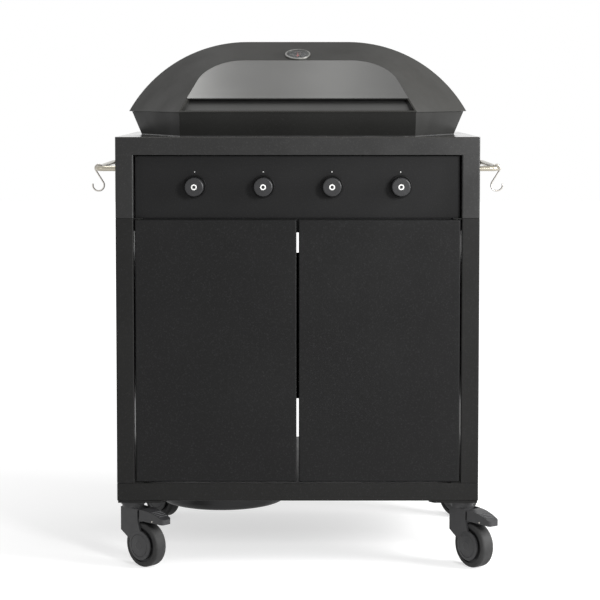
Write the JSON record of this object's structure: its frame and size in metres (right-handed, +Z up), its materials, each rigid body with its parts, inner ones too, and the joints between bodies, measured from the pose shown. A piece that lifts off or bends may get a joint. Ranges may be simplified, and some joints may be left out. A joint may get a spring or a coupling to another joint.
{
  "type": "gas grill cart",
  "caption": "Gas grill on a closed cabinet cart with a hinged faceted lid, push-and-turn knobs, double doors, side towel bars with hooks and swivel casters.",
  "frame": {"origin": "on the floor under the middle of the grill's outer box, wheels standing on the floor", "axes": "+X to the right as seen from the front, +Y from the doors to the back, +Z up"},
  "size_m": [0.9404, 0.636, 1.1834],
  "materials": {
    "black_paint": "satin powder coat",
    "satin_steel": "satin",
    "zinc_steel": "zinc plated",
    "stainless": "ground",
    "enamel": "gloss enamel",
    "iron": "matt enamel",
    "brass": "machined",
    "black_plastic": "fine grain",
    "chrome": "polished",
    "gauge_glass": "clear",
    "needle_red": "matt",
    "tyre": "matt"
  },
  "bodies": {
    "cart": {"base_rails": "black_paint", "lower_posts": "black_paint", "upper_posts": "black_paint", "top_rails": "black_paint", "worktop": "black_paint", "cabinet_floor": "black_paint", "bottle_dish": "black_paint", "side_panel_right": "black_paint", "side_panel_left": "black_paint", "back_panel": "black_paint", "rear_apron": "black_paint", "control_panel": "black_paint", "cross_rail": "black_paint", "collar": "black_paint", "door_pivots": "black_paint", "caster_plates": "black_paint", "gas_manifold": "zinc_steel", "tray_runners": "zinc_steel", "lid_hinge_brackets": "zinc_steel", "side_bar_right": "stainless", "side_bar_left": "stainless", "bar_screws": "stainless", "burners": "stainless", "heat_tents": "stainless", "firebox": "enamel", "cooking_grates": "iron", "gas_inlet": "brass", "gas_valves": "brass", "knob_bezels": "black_plastic", "door_catches": "black_plastic"},
    "lid": {"lid_shell": "black_paint", "lid_front_panel": "satin_steel", "lid_grip": "satin_steel", "lid_hinge_arms": "zinc_steel", "thermometer_case": "chrome", "thermometer_glass": "gauge_glass"},
    "gauge_needle": {"thermometer_needle": "needle_red"},
    "door_right": {"door_right": "black_paint"},
    "door_left": {"door_left": "black_paint"},
    "hook_right": {"hook_right": "stainless"},
    "hook_left": {"hook_left": "stainless"},
    "drip_tray": {"drip_tray": "zinc_steel"},
    "stem_1": {"valve_stem_1": "stainless"},
    "knob_1": {"knob_1": "black_plastic"},
    "stem_2": {"valve_stem_2": "stainless"},
    "knob_2": {"knob_2": "black_plastic"},
    "stem_3": {"valve_stem_3": "stainless"},
    "knob_3": {"knob_3": "black_plastic"},
    "stem_4": {"valve_stem_4": "stainless"},
    "knob_4": {"knob_4": "black_plastic"},
    "swivel_front_left": {"fork_front_left": "black_plastic"},
    "wheel_front_left": {"wheel_front_left": "tyre"},
    "swivel_front_right": {"fork_front_right": "black_plastic"},
    "wheel_front_right": {"wheel_front_right": "tyre"},
    "swivel_rear_left": {"fork_rear_left": "black_plastic"},
    "wheel_rear_left": {"wheel_rear_left": "tyre"},
    "swivel_rear_right": {"fork_rear_right": "black_plastic"},
    "wheel_rear_right": {"wheel_rear_right": "tyre"},
    "pedal_front_left": {"pedal_front_left": "black_plastic"},
    "pedal_front_right": {"pedal_front_right": "black_plastic"}
  },
  "joints": [
    {"name": "lid_hinge", "type": "hinge", "parent": "cart", "child": "lid", "pos_m": [0, 0.30399, 1.012], "axis": [-1, 0, 0], "range_deg": [0, 85]},
    {"name": "gauge_needle_turn", "type": "hinge", "parent": "lid", "child": "gauge_needle", "pos_m": [0, -0.04829, 1.14958], "axis": [0, 0.3855, -0.9227], "range_deg": [-135, 135], "stiffness_Nm_per_rad": 0.0005},
    {"name": "door_right_hinge", "type": "hinge", "parent": "cart", "child": "door_right", "pos_m": [0.354, -0.25601, 0.4875], "axis": [0, 0, 1], "range_deg": [0, 110]},
    {"name": "door_left_hinge", "type": "hinge", "parent": "cart", "child": "door_left", "pos_m": [-0.354, -0.25601, 0.4875], "axis": [0, 0, -1], "range_deg": [0, 110]},
    {"name": "hook_right_swing", "type": "hinge", "parent": "cart", "child": "hook_right", "pos_m": [0.455, -0.13401, 0.892], "axis": [0, 1, 0], "range_deg": [-35, 35]},
    {"name": "hook_left_swing", "type": "hinge", "parent": "cart", "child": "hook_left", "pos_m": [-0.455, -0.13401, 0.892], "axis": [0, 1, 0], "range_deg": [-35, 35]},
    {"name": "drip_tray_slide", "type": "slide", "parent": "cart", "child": "drip_tray", "axis": [0, 1, 0], "range_m": [0, 0.38]},
    {"name": "knob_1_push", "type": "slide", "parent": "cart", "child": "stem_1", "axis": [0, 1, 0], "range_m": [0, 0.004], "stiffness_N_per_m": 800},
    {"name": "knob_1_turn", "type": "hinge", "parent": "stem_1", "child": "knob_1", "pos_m": [-0.2295, -0.24751, 0.855], "axis": [0, -1, 0], "range_deg": [0, 180]},
    {"name": "knob_2_push", "type": "slide", "parent": "cart", "child": "stem_2", "axis": [0, 1, 0], "range_m": [0, 0.004], "stiffness_N_per_m": 800},
    {"name": "knob_2_turn", "type": "hinge", "parent": "stem_2", "child": "knob_2", "pos_m": [-0.0765, -0.24751, 0.855], "axis": [0, -1, 0], "range_deg": [0, 180]},
    {"name": "knob_3_push", "type": "slide", "parent": "cart", "child": "stem_3", "axis": [0, 1, 0], "range_m": [0, 0.004], "stiffness_N_per_m": 800},
    {"name": "knob_3_turn", "type": "hinge", "parent": "stem_3", "child": "knob_3", "pos_m": [0.0765, -0.24751, 0.855], "axis": [0, -1, 0], "range_deg": [0, 180]},
    {"name": "knob_4_push", "type": "slide", "parent": "cart", "child": "stem_4", "axis": [0, 1, 0], "range_m": [0, 0.004], "stiffness_N_per_m": 800},
    {"name": "knob_4_turn", "type": "hinge", "parent": "stem_4", "child": "knob_4", "pos_m": [0.2295, -0.24751, 0.855], "axis": [0, -1, 0], "range_deg": [0, 180]},
    {"name": "swivel_front_left_turn", "type": "hinge", "parent": "cart", "child": "swivel_front_left", "pos_m": [-0.372, -0.22401, 0.145], "axis": [0, 0, 1], "continuous": true},
    {"name": "wheel_front_left_roll", "type": "hinge", "parent": "swivel_front_left", "child": "wheel_front_left", "pos_m": [-0.34079, -0.25211, 0.05], "axis": [0.6691, 0.7431, 0], "continuous": true},
    {"name": "pedal_front_left_press", "type": "hinge", "parent": "swivel_front_left", "child": "pedal_front_left", "pos_m": [-0.34971, -0.24409, 0.1187], "axis": [0.6691, 0.7431, 0], "range_deg": [0, 10]},
    {"name": "swivel_front_right_turn", "type": "hinge", "parent": "cart", "child": "swivel_front_right", "pos_m": [0.372, -0.22401, 0.145], "axis": [0, 0, 1], "continuous": true},
    {"name": "wheel_front_right_roll", "type": "hinge", "parent": "swivel_front_right", "child": "wheel_front_right", "pos_m": [0.39669, -0.25799, 0.05], "axis": [0.809, 0.5878, 0], "continuous": true},
    {"name": "pedal_front_right_press", "type": "hinge", "parent": "swivel_front_right", "child": "pedal_front_right", "pos_m": [0.38963, -0.24828, 0.1187], "axis": [0.809, 0.5878, 0], "range_deg": [0, 10]},
    {"name": "swivel_rear_left_turn", "type": "hinge", "parent": "cart", "child": "swivel_rear_left", "pos_m": [-0.372, 0.27999, 0.145], "axis": [0, 0, 1], "continuous": true},
    {"name": "wheel_rear_left_roll", "type": "hinge", "parent": "swivel_rear_left", "child": "wheel_rear_left", "pos_m": [-0.34079, 0.25189, 0.05], "axis": [0.6691, 0.7431, 0], "continuous": true},
    {"name": "swivel_rear_right_turn", "type": "hinge", "parent": "cart", "child": "swivel_rear_right", "pos_m": [0.372, 0.27999, 0.145], "axis": [0, 0, 1], "continuous": true},
    {"name": "wheel_rear_right_roll", "type": "hinge", "parent": "swivel_rear_right", "child": "wheel_rear_right", "pos_m": [0.40321, 0.25189, 0.05], "axis": [0.6691, 0.7431, 0], "continuous": true}
  ]
}
